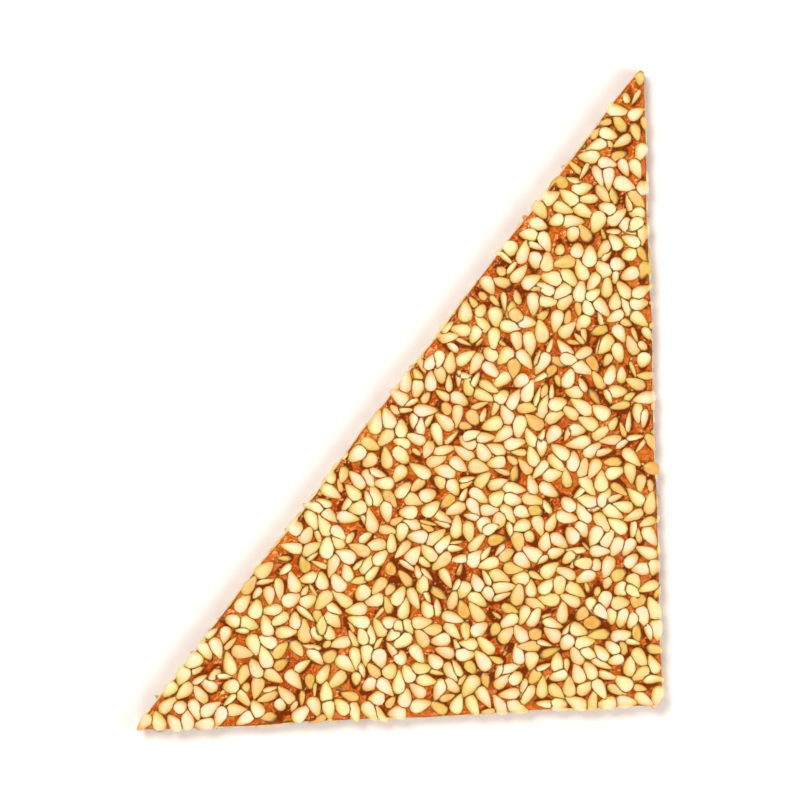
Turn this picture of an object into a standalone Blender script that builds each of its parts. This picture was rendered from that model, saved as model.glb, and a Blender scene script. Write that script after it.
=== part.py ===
"""Sesame candy: a three-cornered cut of hard caramel, its two faces covered with sesame seeds.

The caramel is one flat slab with three knife-cut sides. Seeds lie half sunk in its top and its
underside, and a few are caught in the cut sides. Each seed is a small closed form, and all of
them are fused to the slab, so that the candy is one solid. It lies flat: its box is centred on
the origin, and the seeds pressed level on the underside touch z = 0.
"""

import math

import bmesh
import bpy
import numpy as np
from mathutils import Matrix, Vector

MM = 0.001

# Where the three knife cuts meet, seen from above: the narrow corner, the square corner and the
# long corner. CORNER_CHIP takes a little off each, which leaves a box of 78.3 x 98.4 mm.
CORNERS = (
    (36.20 * MM, 50.05 * MM),
    (39.10 * MM, -45.30 * MM),
    (-39.78 * MM, -49.25 * MM),
)
CORNER_CHIP = 0.9 * MM  # length broken off each corner, along both of its sides
CUT_STRETCHES = 12  # straight stretches along each knife-cut side
CUT_WAVE = 0.16 * MM  # how far a cut side wanders from straight
CUT_WAVES_LONG = (31.0 * MM, 12.5 * MM)  # lengths of the side's two slow waves

TOP_SEED_HEIGHT = 0.48 * MM  # how far the top's seeds stand out of the caramel
UNDERSIDE_SEED_HEIGHT = 0.42 * MM
CARAMEL_THICKNESS = 3.30 * MM
CARAMEL_LOW = UNDERSIDE_SEED_HEIGHT
CARAMEL_HIGH = CARAMEL_LOW + CARAMEL_THICKNESS

# Sesame seeds: mean size, and how much sizes differ
SEED_LENGTH = 3.12 * MM
SEED_WIDTH = 1.90 * MM
LENGTH_SPREAD = 0.07
WIDTH_SPREAD = 0.08
THIN_SHARE = 0.16  # share of the seeds that lie on their side and look narrow
THIN_WIDTH = (0.50, 0.80)  # a narrow seed's width, as a share of its full width

# How the seeds pack on one face
SEEDS_ON_A_FACE = 690
BARE_SPOTS = 28
BARE_RADIUS = (0.7 * MM, 1.5 * MM)
FIRST_SPACING = 1.6 * MM
FIRST_INSET = 0.8 * MM
CROWDING = 0.03  # chance that a seed is dropped closer to the others than that
OVERHANG = 0.25 * MM  # how far a seed may reach past a cut side
PACKING_ROUNDS = 160
PACKING_STEP = 0.55
REACH = 4.6 * MM  # seeds further apart than this don't touch
PAIRING_ROUNDS = 8  # rounds between two searches for neighbours
TURN_ARM = 0.38  # lever that turns a pushed seed, as a share of its length
BARE_PUSH = 0.6
# A seed as three circles: place over its half length, and radius over its half width
SEED_CIRCLES = ((-0.42, 0.96), (0.08, 0.88), (0.55, 0.55))

# The seeds that are fused: the largest first, each this far from those before it
TOP_SEEDS = 400
TOP_GAP = 1.6 * MM
UNDERSIDE_SEEDS = 205
UNDERSIDE_GAP = 2.7 * MM
PRESSED_SEEDS = 30
PRESSED_GAP = 7.5 * MM
CLEARANCE = 0.02 * MM
SEED_SUNK = 0.06 * MM  # depth of a seed's widest outline below the caramel's face
SEED_ROOT = 0.40 * MM  # how deep a seed's foot lies below its widest outline
SHORT_OF_FLOOR = 0.04 * MM  # an unpressed underside seed ends this far above the floor
HEIGHT_SPREAD = 0.12
SIDE_SEED_HEIGHT = 0.34 * MM
SIDE_SEED_ZONE = 0.50 * MM  # how far a side's seeds lie off the middle of its height
SIDE_SEED_SLANT = 0.5

TOP_DRAW = 7
UNDERSIDE_DRAW = 19
SIDE_DRAW = 31

# One seed's form over its half length and half width: the six points of its widest outline, the
# two ends of its ridge, and how much smaller a pressed seed's flat is than its outline.
SHOULDER = 0.94
OUTLINE = (
    (1.00, 0.0),
    (0.05, SHOULDER),
    (-0.62, SHOULDER),
    (-1.00, 0.0),
    (-0.62, -SHOULDER),
    (0.05, -SHOULDER),
)
RIDGE = (0.18, -0.50)
FLAT_SHARE = 0.55


def cut_sides():
    """Each straight side as its first corner, its last corner and its outward direction."""
    middle = np.mean(CORNERS, axis=0)
    sides = []
    for index, first in enumerate(CORNERS):
        first = np.array(first)
        last = np.array(CORNERS[(index + 1) % len(CORNERS)])
        along = (last - first) / np.linalg.norm(last - first)
        outward = np.array((along[1], -along[0]))
        if np.dot(middle - first, outward) > 0:
            outward = -outward
        sides.append((first, last, outward))
    return sides


def cut_wander(distance, side):
    """How far the knife cut runs off its straight line, at a distance along the side."""
    slow, quick = CUT_WAVES_LONG
    first = math.sin(2 * math.pi * distance / slow + 1.3 * side)
    second = math.sin(2 * math.pi * distance / quick + 2.1 * side + 0.7)
    return CUT_WAVE * (0.7 * first + 0.3 * second)


def slab_outline():
    """The caramel's outline from above, one list of points for each side."""
    stretches = []
    for side, (first, last, outward) in enumerate(cut_sides()):
        length = np.linalg.norm(last - first)
        along = (last - first) / length
        points = []
        for distance in np.linspace(CORNER_CHIP, length - CORNER_CHIP, CUT_STRETCHES + 1):
            wander = cut_wander(distance, side)
            points.append(first + along * distance + outward * wander)
        stretches.append(points)
    return stretches


def outline_box(outline):
    """The lowest and the highest corner of the outline's box."""
    points = np.concatenate(outline)
    return points.min(axis=0), points.max(axis=0)


def first_places(draw, count):
    """Points strewn over the face, mostly no nearer to each other than FIRST_SPACING."""
    sides = cut_sides()
    low = np.min(CORNERS, axis=0)
    high = np.max(CORNERS, axis=0)
    places = np.empty((0, 2))
    while len(places) < count:
        place = draw.uniform(low, high)
        if any(np.dot(place - first, out) > -FIRST_INSET for first, _, out in sides):
            continue
        near = len(places) and np.hypot(*(places - place).T).min() < FIRST_SPACING
        if near and draw.random() > CROWDING:
            continue
        places = np.vstack((places, place))
    return places


def pushes_apart(gaps, reaches):
    """The push on the first of two circles, from the line between them and their radii."""
    distance = np.sqrt((gaps**2).sum(axis=-1)) + 1e-12
    overlap = np.maximum(reaches - distance, 0)
    return gaps / distance[..., None] * overlap[..., None]


def packed_seeds(draw_number):
    """Seeds of one face as rows of x, y, turn, length and width, packed side by side.

    They are strewn at random, and then each round pushes overlapping seeds apart, off the bare
    spots of caramel and back inside the cut sides.
    """
    draw = np.random.default_rng(draw_number)
    count = SEEDS_ON_A_FACE
    places = first_places(draw, count + BARE_SPOTS)
    spots = places[count:]
    places = places[:count]
    spot_radius = draw.uniform(*BARE_RADIUS, BARE_SPOTS)
    length = SEED_LENGTH * np.clip(draw.normal(1, LENGTH_SPREAD, count), 0.84, 1.16)
    width = SEED_WIDTH * np.clip(draw.normal(1, WIDTH_SPREAD, count), 0.82, 1.15)
    thin = draw.random(count) < THIN_SHARE
    width = np.where(thin, width * draw.uniform(*THIN_WIDTH, count), width)
    turn = draw.uniform(0, 2 * math.pi, count)

    offsets = np.array([place for place, _ in SEED_CIRCLES]) * length[:, None] / 2
    radii = np.array([radius for _, radius in SEED_CIRCLES]) * width[:, None] / 2
    sides = cut_sides()
    for number in range(PACKING_ROUNDS):
        if number % PAIRING_ROUNDS == 0:
            apart = np.hypot(*(places[:, None] - places[None]).transpose(2, 0, 1))
            one, other = np.nonzero(np.triu(apart < REACH, 1))
        arms = np.stack((np.cos(turn), np.sin(turn)), axis=1)[:, None] * offsets[..., None]
        circles = places[:, None] + arms
        push = np.zeros_like(circles)
        gaps = circles[one][:, :, None] - circles[other][:, None]
        reaches = radii[one][:, :, None] + radii[other][:, None]
        between = pushes_apart(gaps, reaches) / 2
        np.add.at(push, one, between.sum(axis=2))
        np.add.at(push, other, -between.sum(axis=1))
        gaps = circles[:, :, None] - spots
        push += BARE_PUSH * pushes_apart(gaps, radii[..., None] + spot_radius).sum(axis=2)
        for first, _, out in sides:
            beyond = (circles - first) @ out + radii - OVERHANG
            push -= np.maximum(beyond, 0)[..., None] * out
        places = places + PACKING_STEP * push.sum(axis=1)
        twist = (arms[..., 0] * push[..., 1] - arms[..., 1] * push[..., 0]).sum(axis=1)
        turn = turn + PACKING_STEP * twist / (TURN_ARM * length) ** 2
    return np.column_stack((places, turn, length, width))


def seed_outline(seed):
    """One seed's widest outline, as six points on the face that it lies on."""
    x, y, turn, length, width = seed
    along = np.array((math.cos(turn), math.sin(turn))) * length / 2
    across = np.array((-math.sin(turn), math.cos(turn))) * width / 2
    shape = np.array(OUTLINE)
    return np.array((x, y)) + shape[:, :1] * along + shape[:, 1:] * across


def keeps_clear(outline, other):
    """True if a line along some edge parts two seeds' outlines."""
    for shape in (outline, other):
        edges = np.roll(shape, -1, axis=0) - shape
        normals = np.column_stack((edges[:, 1], -edges[:, 0]))
        normals /= np.linalg.norm(normals, axis=1)[:, None]
        one = outline @ normals.T
        two = other @ normals.T
        before = two.min(axis=0) - one.max(axis=0)
        after = one.min(axis=0) - two.max(axis=0)
        if np.maximum(before, after).max() > CLEARANCE:
            return True
    return False


def fits_box(points, box):
    """True if the points lie inside the box of the caramel's outline."""
    low, high = box
    return bool(np.all(points >= low) and np.all(points <= high))


def largest_spread(seeds, most, spacing, box, kept=()):
    """The largest seeds first, each at least spacing from those taken before it."""
    taken = list(kept)
    shapes = [seed_outline(seed) for seed in taken]
    for index in np.argsort(-seeds[:, 3] * seeds[:, 4], kind="stable"):
        if len(taken) == most:
            break
        seed = seeds[index]
        shape = seed_outline(seed)
        gaps = [math.dist(seed[:2], other[:2]) for other in taken]
        if not fits_box(shape, box) or min(gaps, default=spacing) < spacing:
            continue
        near = [other for other, gap in zip(shapes, gaps) if gap < REACH]
        if all(keeps_clear(shape, other) for other in near):
            taken.append(seed)
            shapes.append(shape)
    return taken


def close_to_ridge(body, rim, ridge, upward):
    """Closes one side of a seed's six-point outline with a roof of four triangles and two quads."""
    front, back = ridge
    faces = (
        (rim[0], rim[1], front),
        (rim[1], rim[2], back, front),
        (rim[2], rim[3], back),
        (rim[3], rim[4], back),
        (rim[4], rim[5], front, back),
        (rim[5], rim[0], front),
    )
    for corners in faces:
        body.faces.new(corners if upward else corners[::-1])


def add_seed(body, placement, length, width, height, pressed=False):
    """Adds one closed seed to a bmesh: its outline, its ridge or flat, and its buried foot.

    In the seed's own frame its widest outline lies in z = 0, height is how far it rises, and its
    narrow end points along +X.
    """

    def corner(x, y, z):
        return body.verts.new(placement @ Vector((x * length / 2, y * width / 2, z)))

    rim = [corner(x, y, 0) for x, y in OUTLINE]
    foot = [corner(x, 0, -SEED_ROOT) for x in RIDGE]
    if pressed:
        crown = [corner(x * FLAT_SHARE, y * FLAT_SHARE, height) for x, y in OUTLINE]
        body.faces.new(crown)
        for index, point in enumerate(rim):
            after = (index + 1) % len(rim)
            body.faces.new((point, rim[after], crown[after], crown[index]))
    else:
        crown = [corner(x, 0, height) for x in RIDGE]
        close_to_ridge(body, rim, crown, upward=True)
    close_to_ridge(body, rim, foot, upward=False)


def seed_object(name, body, material, collection):
    """Turns a bmesh of seeds into an object of the collection that is fused to the slab."""
    bmesh.ops.recalc_face_normals(body, faces=body.faces)
    mesh = bpy.data.meshes.new(name)
    body.to_mesh(mesh)
    body.free()
    mesh.materials.append(material)
    seeds = bpy.data.objects.new(name, mesh)
    collection.objects.link(seeds)


def top_seeds(box, material, collection):
    """The seeds half sunk in the top face."""
    draw = np.random.default_rng(TOP_DRAW)
    taken = largest_spread(packed_seeds(TOP_DRAW), TOP_SEEDS, TOP_GAP, box)
    body = bmesh.new()
    for x, y, turn, length, width in taken:
        height = SEED_SUNK + TOP_SEED_HEIGHT * (1 - HEIGHT_SPREAD * draw.random())
        level = Matrix.Translation((x, y, CARAMEL_HIGH - SEED_SUNK))
        add_seed(body, level @ Matrix.Rotation(turn, 4, "Z"), length, width, height)
    seed_object("top_seeds", body, material, collection)


def underside_seeds(box, material, collection):
    """The seeds of the underside: the largest are pressed flat and carry the candy."""
    seeds = packed_seeds(UNDERSIDE_DRAW)
    pressed = largest_spread(seeds, PRESSED_SEEDS, PRESSED_GAP, box)
    taken = largest_spread(seeds, UNDERSIDE_SEEDS, UNDERSIDE_GAP, box, kept=pressed)
    face_down = Matrix.Rotation(math.pi, 4, "X")
    body = bmesh.new()
    for index, (x, y, turn, length, width) in enumerate(taken):
        flat = index < len(pressed)
        height = SEED_SUNK + UNDERSIDE_SEED_HEIGHT - (0 if flat else SHORT_OF_FLOOR)
        level = Matrix.Translation((x, y, CARAMEL_LOW + SEED_SUNK)) @ face_down
        add_seed(body, level @ Matrix.Rotation(-turn, 4, "Z"), length, width, height, flat)
    seed_object("underside_seeds", body, material, collection)


def side_seeds(outline, box, material, collection):
    """One seed in the middle of each stretch of the cut sides, unless it would pass the box."""
    draw = np.random.default_rng(SIDE_DRAW)
    middle_height = (CARAMEL_LOW + CARAMEL_HIGH) / 2
    body = bmesh.new()
    for points, (_, _, outward) in zip(outline, cut_sides()):
        for first, last in zip(points[:-1], points[1:]):
            along = Vector((*(last - first), 0)).normalized()
            out = Vector((along.y, -along.x, 0))
            if np.dot(out[:2], outward) < 0:
                out.negate()
            middle = (first + last) / 2
            height = middle_height + SIDE_SEED_ZONE * draw.uniform(-1, 1)
            length = SEED_LENGTH * draw.uniform(0.86, 1.05)
            width = SEED_WIDTH * draw.uniform(0.80, 1.00)
            turn = SIDE_SEED_SLANT * draw.uniform(-1, 1) + math.pi * draw.integers(2)
            rise = SEED_SUNK + SIDE_SEED_HEIGHT * draw.uniform(0.7, 1.0)
            upright = Matrix((out.cross(along), along, out)).transposed().to_4x4()
            foot = Matrix.Translation((*(middle - SEED_SUNK * np.array(out[:2])), height))
            placement = foot @ upright @ Matrix.Rotation(turn + math.pi / 2, 4, "Z")
            if fits_box(middle + SIDE_SEED_HEIGHT * np.array(out[:2]), box):
                add_seed(body, placement, length, width, rise)
    seed_object("side_seeds", body, material, collection)


def finish(name, colour, roughness):
    """A food surface: its colour and how glossy it is."""
    material = bpy.data.materials.new(name)
    material.use_nodes = True
    shader = material.node_tree.nodes["Principled BSDF"]
    shader.inputs["Base Color"].default_value = (*colour, 1)
    shader.inputs["Roughness"].default_value = roughness
    shader.inputs["Metallic"].default_value = 0
    material.diffuse_color = (*colour, 1)
    return material


def caramel_slab(outline, material):
    """The slab: its outline from above, drawn up to the thickness of the caramel."""
    body = bmesh.new()
    rim = [body.verts.new((*point, CARAMEL_LOW)) for points in outline for point in points]
    face = body.faces.new(rim)
    raised = bmesh.ops.extrude_face_region(body, geom=[face])
    upper = [part for part in raised["geom"] if isinstance(part, bmesh.types.BMVert)]
    bmesh.ops.translate(body, verts=upper, vec=(0, 0, CARAMEL_THICKNESS))
    bmesh.ops.recalc_face_normals(body, faces=body.faces)
    mesh = bpy.data.meshes.new("sesame_candy")
    body.to_mesh(mesh)
    body.free()
    mesh.materials.append(material)
    slab = bpy.data.objects.new("sesame_candy", mesh)
    bpy.context.scene.collection.objects.link(slab)
    return slab


def fuse(slab, collection):
    """Joins every seed of the collection to the slab in one union, and drops the loose seeds."""
    union = slab.modifiers.new("fused_seeds", "BOOLEAN")
    union.operation = "UNION"
    union.operand_type = "COLLECTION"
    union.collection = collection
    union.solver = "EXACT"
    union.material_mode = "TRANSFER"
    bpy.context.view_layer.objects.active = slab
    bpy.context.view_layer.update()
    bpy.ops.object.modifier_apply(modifier=union.name)
    for seeds in list(collection.objects):
        bpy.data.objects.remove(seeds)
    bpy.data.collections.remove(collection)


def build():
    """Makes the candy and centres its box on the origin."""
    for leftover in list(bpy.data.objects):
        bpy.data.objects.remove(leftover)
    caramel = finish("caramel", (0.62, 0.10, 0.008), 0.15)
    sesame = finish("sesame", (0.86, 0.66, 0.28), 0.45)
    outline = slab_outline()
    box = outline_box(outline)
    slab = caramel_slab(outline, caramel)
    loose = bpy.data.collections.new("seeds_to_fuse")
    bpy.context.scene.collection.children.link(loose)
    top_seeds(box, sesame, loose)
    underside_seeds(box, sesame, loose)
    side_seeds(outline, box, sesame, loose)
    fuse(slab, loose)
    centre = Vector((*np.mean(box, axis=0), 0))
    slab.data.transform(Matrix.Translation(-centre))


build()
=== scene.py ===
"""Looks of the sesame candy: a slab of glossy amber caramel with sesame seeds sunk in it.

The caramel is cut from a fine grid by the same three knife cuts as the solid. The seeds lie where
the solid's seeds lie, with the smaller ones that it leaves out in between.
"""

import math

import bmesh
import bpy
import numpy as np
from mathutils import Matrix, Vector, noise


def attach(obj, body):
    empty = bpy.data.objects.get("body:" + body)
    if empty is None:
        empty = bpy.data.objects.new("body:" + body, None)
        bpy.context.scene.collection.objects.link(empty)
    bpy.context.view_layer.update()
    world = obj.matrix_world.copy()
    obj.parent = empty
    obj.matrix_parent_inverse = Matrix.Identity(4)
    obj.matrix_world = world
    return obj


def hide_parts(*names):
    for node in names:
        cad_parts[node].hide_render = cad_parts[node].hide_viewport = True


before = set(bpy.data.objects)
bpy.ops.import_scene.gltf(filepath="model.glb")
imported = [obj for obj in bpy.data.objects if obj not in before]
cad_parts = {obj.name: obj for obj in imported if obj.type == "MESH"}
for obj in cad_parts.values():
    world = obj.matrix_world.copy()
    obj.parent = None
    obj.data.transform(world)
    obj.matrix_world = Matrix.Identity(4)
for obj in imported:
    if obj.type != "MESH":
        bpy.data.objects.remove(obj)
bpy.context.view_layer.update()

MM = 0.001

# --- The candy's own sizes, as in the solid ---
# Where the three knife cuts meet, seen from above: the narrow, the square and the long corner
CORNERS = (
    (36.20 * MM, 50.05 * MM),
    (39.10 * MM, -45.30 * MM),
    (-39.78 * MM, -49.25 * MM),
)
CORNER_CHIP = 0.9 * MM  # length broken off each corner, along both of its sides
CUT_STRETCHES = 12  # straight stretches along each knife-cut side
CUT_WAVE = 0.16 * MM  # how far a cut side wanders from straight
CUT_WAVES_LONG = (31.0 * MM, 12.5 * MM)  # lengths of the side's two slow waves
CARAMEL_LOW = 0.42 * MM
CARAMEL_HIGH = 3.72 * MM

# Sesame seeds: mean size, and how much sizes differ
SEED_LENGTH = 3.12 * MM
SEED_WIDTH = 1.90 * MM
SEED_THICKNESS = 0.95 * MM
LENGTH_SPREAD = 0.07
LENGTH_LIMITS = (0.84, 1.16)
WIDTH_SPREAD = 0.08
WIDTH_LIMITS = (0.82, 1.15)
THIN_SHARE = 0.16  # share of the seeds that lie on their side and look narrow
THIN_WIDTH = (0.50, 0.80)  # a narrow seed's width, as a share of its full width

# How the seeds pack on one face
SEEDS_ON_A_FACE = 690
BARE_SPOTS = 28
BARE_RADIUS = (0.7 * MM, 1.5 * MM)
FIRST_SPACING = 1.6 * MM
FIRST_INSET = 0.8 * MM
CROWDING = 0.03  # chance that a seed is dropped nearer to another than FIRST_SPACING
OVERHANG = 0.25 * MM  # how far a seed may reach past a cut side
PACKING_ROUNDS = 160
PACKING_STEP = 0.55
REACH = 4.6 * MM  # seeds further apart than this don't touch
PAIRING_ROUNDS = 8  # rounds between two searches for neighbours
TURN_ARM = 0.38  # lever that turns a pushed seed, as a share of its length
BARE_PUSH = 0.6
# A seed as three circles: place over its half length, and radius over its half width
SEED_CIRCLES = ((-0.42, 0.96), (0.08, 0.88), (0.55, 0.55))

# The solid's seeds in the cut sides: length and width as shares of a full seed's, how far off
# the middle of the side's height, how slanted, and how far out of the side
SIDE_SEED_LONG = (0.86, 1.05)
SIDE_SEED_WIDE = (0.80, 1.00)
SIDE_SEED_ZONE = 0.50 * MM
SIDE_SEED_SLANT = 0.5
SIDE_SEED_HEIGHT = 0.34 * MM
SIDE_SEED_STAND = (0.7, 1.0)  # share of that height

# What the random draws start from
TOP_DRAW = 7
UNDERSIDE_DRAW = 19
SIDE_DRAW = 31
CUT_SEED_DRAW = 32
LYING_DRAW = 100  # added to a face's number for how its seeds lie
FILLER_DRAW = 200  # added to a face's number for the seeds in its gaps

# --- What only the looks need ---
# The caramel
CARAMEL_TOP = 3.62 * MM  # a little low, which leaves room for seeds that lie over others
CELL = 0.31 * MM  # width of the grid's faces
WELD = 0.06 * MM  # points of the cut grid that are nearer to each other than this become one
STRAY = 2.5 * WELD  # a cut side's points this near to it are drawn onto it
ON_A_CUT = 0.02 * MM  # a cut side's points are this near to its straight line
LEVEL_GAP = 0.001 * MM  # points nearer to a face's level than this lie in the face
PLACE_DIGITS = 7  # decimals of a metre that tell two places apart
SIDE_ROWS = 8  # rows of faces up a cut side
SIDE_RIPPLE = 0.06 * MM  # how uneven the knife leaves a cut side
SIDE_RIPPLE_LONG = 2.2 * MM
SIDE_RIPPLE_HIGH = 1.6 * MM
WANDER_FADE = 3 * MM  # how far in from a cut side the grid follows its wandering
RIM_RADIUS = 0.30 * MM  # how round the knife leaves the slab's rim
RIM_DROP = 0.7  # how deep the rim drops, as a share of that radius
SLOW_RELIEF = 0.09 * MM
SLOW_RELIEF_LONG = 9.0 * MM
FINE_RELIEF = 0.045 * MM
FINE_RELIEF_LONG = 1.1 * MM
SLOW_NOISE, FINE_NOISE, RIPPLE_NOISE = 5.0, 3.0, 9.0  # keep the reliefs' noises apart
MENISCUS = 0.16 * MM  # how high the caramel climbs up a seed
MENISCUS_LONG = 0.28 * MM
MENISCUS_FOOT = 0.15 * MM  # how far open caramel lies below its mean level
SIDE_BARE = 1.0 * MM  # a cut side counts as this far from any seed
GLOW_LONG = 2.4 * MM  # how far in from a cut side the painted glow, standing for light through the caramel, reaches
GLOW_OF_A_SIDE = 0.5

# The seed's mesh
SEED_SEGMENTS = 10
SEED_RINGS = 7
RING_GAP = 0.02  # a ring's points are this near to its place
SEED_CUT = -0.45  # below this share of its half thickness a seed is hidden in the caramel
BEND_MIDDLE = 0.4  # keeps a bent seed about its middle line
# Taper towards the tip and sideways bend of each form of seed
SEED_FORMS = ((0.54, 0.00), (0.46, 0.07), (0.60, -0.05), (0.50, -0.09))

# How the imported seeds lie. A tone runs from 0, cream, to 1, golden. The pairs of numbers named
# tones give the shape of the beta distribution that it is drawn from.
SEED_PLUMP = (1.17, 1.17)  # seeds are this much longer and wider than packed, and so touch
SEED_THICK = (0.90, 1.08)
SEED_PITCH = math.radians(6)
SEED_ROLL = math.radians(9)
SEED_PROUD = 0.46 * MM  # how far a seed's top stands above the caramel
SEED_PROUD_SPREAD = 0.04 * MM
SEED_TONES = (1.4, 3.7)
SEEN_WIDTH = (0.72, 0.98)  # limits of the share of its width that a seed on its edge shows
SEEN_SCALE = 1.12  # such a seed shows this much more than it is packed with
SUNK_SHARE = 0.06  # share of the seeds that lie deeper and are toasted darker
SUNK_PROUD = (0.24 * MM, 0.34 * MM)
SUNK_TONE = (0.62, 1.02)  # drawn evenly

# Fillers, the seeds pressed into the gaps: how many, their share of a full seed's length and of
# its width, and how far they lie apart, first for the widest gaps and then for the next
FILLER_ROUNDS = (
    (115, (0.86, 1.05), (0.84, 1.05), 1.7 * MM),
    (18, (0.80, 1.00), (0.70, 0.92), 1.8 * MM),
)
FILLER_TRIES = 2600
FILLER_TURNS = 8
FILLER_INSET = 0.7 * MM
SETTLING_ROUNDS = 40
SETTLING_STEP = 0.25
PINCH_NARROWS = 1.5
PINCHED_WIDTH = 0.62  # share of a full seed's width that a pinched filler keeps
PINCHED_OUT = 0.36 * MM  # fillers that overlap others by more are left out
FILLER_PITCH = math.radians(10)
FILLER_ROLL = math.radians(16)
FILLER_PROUD = (0.24 * MM, 0.40 * MM)
FILLER_TONES = (2.0, 2.4)

# Chips, the bits of broken seed in the gaps
CHIPS = 12
CHIP_TRIES = 40
CHIP_INSET = 0.5 * MM
CHIP_GAP = 0.12 * MM
CHIP_SIZE = (0.22, 0.42)
CHIP_TILT = 0.4
CHIP_PROUD = (0.05 * MM, 0.22 * MM)
CHIP_TONES = (2, 3)

# Riders, the seeds that lie partly on their neighbours
RIDERS = 13
RIDER_TRIES = 80
RIDER_INSET = 1.8 * MM
RIDER_GAP = (-0.1 * MM, 0.2 * MM)  # from a rider's middle to the nearest seed's outline
RIDERS_APART = 5 * MM
RIDER_SIZE = (0.9, 1.05)
RIDER_THICKNESS = 0.74 * MM
RIDER_PITCH = math.radians(4)
RIDER_ROLL = math.radians(5)
RIDER_PROUD = 0.63 * MM
RIDER_TONES = (1.6, 3.0)

# Seeds that the knife cut across, just under the top face, just over the underside and between
# them: how many are tried along a side (one for each such length), their share of a full seed's
# length and of its width, how they slant and how far they stand out of the side
RIM_CUT_SEEDS = (0.7 * MM, (0.62, 1.05), (0.48, 0.80), 0.20, (0.06 * MM, 0.42 * MM))
OTHER_CUT_SEEDS = (0.4 * MM, (0.42, 0.90), (0.42, 0.75), 0.60, (0.04 * MM, 0.26 * MM))
CUT_SEED_BANDS = (RIM_CUT_SEEDS, RIM_CUT_SEEDS, OTHER_CUT_SEEDS)
CUT_SEED_SUNK = (-0.10 * MM, 0.15 * MM)  # how far below the face those at a rim lie
CUT_SEED_DROP = 0.2 * MM  # how much lower still those at the lower rim lie
CUT_SEED_RIM = 0.8 * MM  # the middles of those between keep this far from both faces
CUT_SEED_GAP = -0.04 * MM  # least gap between two of them, which lets them just overlap
CUT_SEED_INSET = 1.9 * MM  # how far from a side's ends they start
SIDE_SEED_THICK = (0.85, 1.0)
SIDE_SEED_TONES = (1.8, 2.8)

# How caramel stains the seeds, together with painted shade
SIDE_STAIN_AND_SHADE_LIFT = 0.14 * MM  # seeds in the cut sides get less stain and painted shade than those in the faces
SIDE_STAIN_AND_SHADE_SCALE = 1.6
UNCROWDED = 9 * MM  # stands for a seed that no other comes near

BLOCK = 2000  # points whose gaps are worked out together
# Added before a division, so that it is never by zero
TINY_DISTANCE = 1e-12
TINY_REACH = 1e-6


def deselect():
    """Leaves edit mode and deselects everything."""
    if bpy.context.object and bpy.context.object.mode != "OBJECT":
        bpy.ops.object.mode_set(mode="OBJECT")
    bpy.ops.object.select_all(action="DESELECT")


def new_object(name, data):
    """A new object in the scene."""
    thing = bpy.data.objects.new(name, data)
    bpy.context.scene.collection.objects.link(thing)
    return thing


def finish_mesh(mesh, values):
    """Smooths a mesh, and keeps the values of its points that its finish reads."""
    for label, numbers in values.items():
        layer = mesh.attributes.new(label, "FLOAT", "POINT")
        layer.data.foreach_set("value", np.array(numbers, dtype=np.float32))
    mesh.polygons.foreach_set("use_smooth", [True] * len(mesh.polygons))


# --- Where the seeds and the cuts lie ---
def outward_from(first, last):
    """The direction out of the candy, square to an edge between two points."""
    along = (last - first) / np.linalg.norm(last - first)
    outward = np.array((along[1], -along[0]))
    inward = np.dot(np.mean(CORNERS, axis=0) - first, outward) > 0
    return -outward if inward else outward


def cut_sides():
    """Each straight side as its first corner, its last corner and its outward direction."""
    corners = [np.array(corner) for corner in CORNERS]
    ends = zip(corners, corners[1:] + corners[:1])
    return [(first, last, outward_from(first, last)) for first, last in ends]


def cut_wander(distance, side):
    """How far the knife cut runs off its straight line, at a distance along the side."""
    slow, quick = CUT_WAVES_LONG
    first = np.sin(2 * math.pi * distance / slow + 1.3 * side)
    second = np.sin(2 * math.pi * distance / quick + 2.1 * side + 0.7)
    return CUT_WAVE * (0.7 * first + 0.3 * second)


def cut_points():
    """Points along each cut side, a list for each."""
    stretches = []
    for side, (first, last, outward) in enumerate(cut_sides()):
        length = np.linalg.norm(last - first)
        along = (last - first) / length
        points = []
        for distance in np.linspace(CORNER_CHIP, length - CORNER_CHIP, CUT_STRETCHES + 1):
            wander = cut_wander(distance, side)
            points.append(first + along * distance + outward * wander)
        stretches.append(points)
    return stretches


def candy_centre():
    """The middle of the outline's box, which the solid is centred by."""
    points = np.concatenate(cut_points())
    return (points.min(axis=0) + points.max(axis=0)) / 2


def first_places(draw, count):
    """Points strewn over the face, mostly no nearer to each other than FIRST_SPACING."""
    sides = cut_sides()
    low = np.min(CORNERS, axis=0)
    high = np.max(CORNERS, axis=0)
    places = np.empty((0, 2))
    while len(places) < count:
        place = draw.uniform(low, high)
        if any(np.dot(place - first, out) > -FIRST_INSET for first, _, out in sides):
            continue
        near = len(places) and np.hypot(*(places - place).T).min() < FIRST_SPACING
        if near and draw.random() > CROWDING:
            continue
        places = np.vstack((places, place))
    return places


def inset_places(draw, count, inset):
    """Random points over the face's box, less those nearer to a cut side than the inset."""
    places = draw.uniform(np.min(CORNERS, axis=0), np.max(CORNERS, axis=0), (count, 2))
    for first, _, out in cut_sides():
        places = places[(places - first) @ out < -inset]
    return places


def pushes_apart(gaps, reaches):
    """The push on the first of two circles, from the line between them and their radii."""
    distance = np.sqrt((gaps**2).sum(axis=-1)) + TINY_DISTANCE
    overlap = np.maximum(reaches - distance, 0)
    return gaps / distance[..., None] * overlap[..., None]


def moved(push, circles, radii, arms, length, step):
    """How far pushes shift and turn each seed in a step, once the cut sides push back too."""
    for first, _, out in cut_sides():
        beyond = (circles - first) @ out + radii - OVERHANG
        push -= np.maximum(beyond, 0)[..., None] * out
    twist = (arms[..., 0] * push[..., 1] - arms[..., 1] * push[..., 0]).sum(axis=1)
    return step * push.sum(axis=1), step * twist / (TURN_ARM * length) ** 2


def circle_sizes(length, width):
    """How far along each seed its three circles lie, and their radii."""
    places, shares = np.transpose(SEED_CIRCLES)
    return places * length[:, None] / 2, shares * width[:, None] / 2


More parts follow.
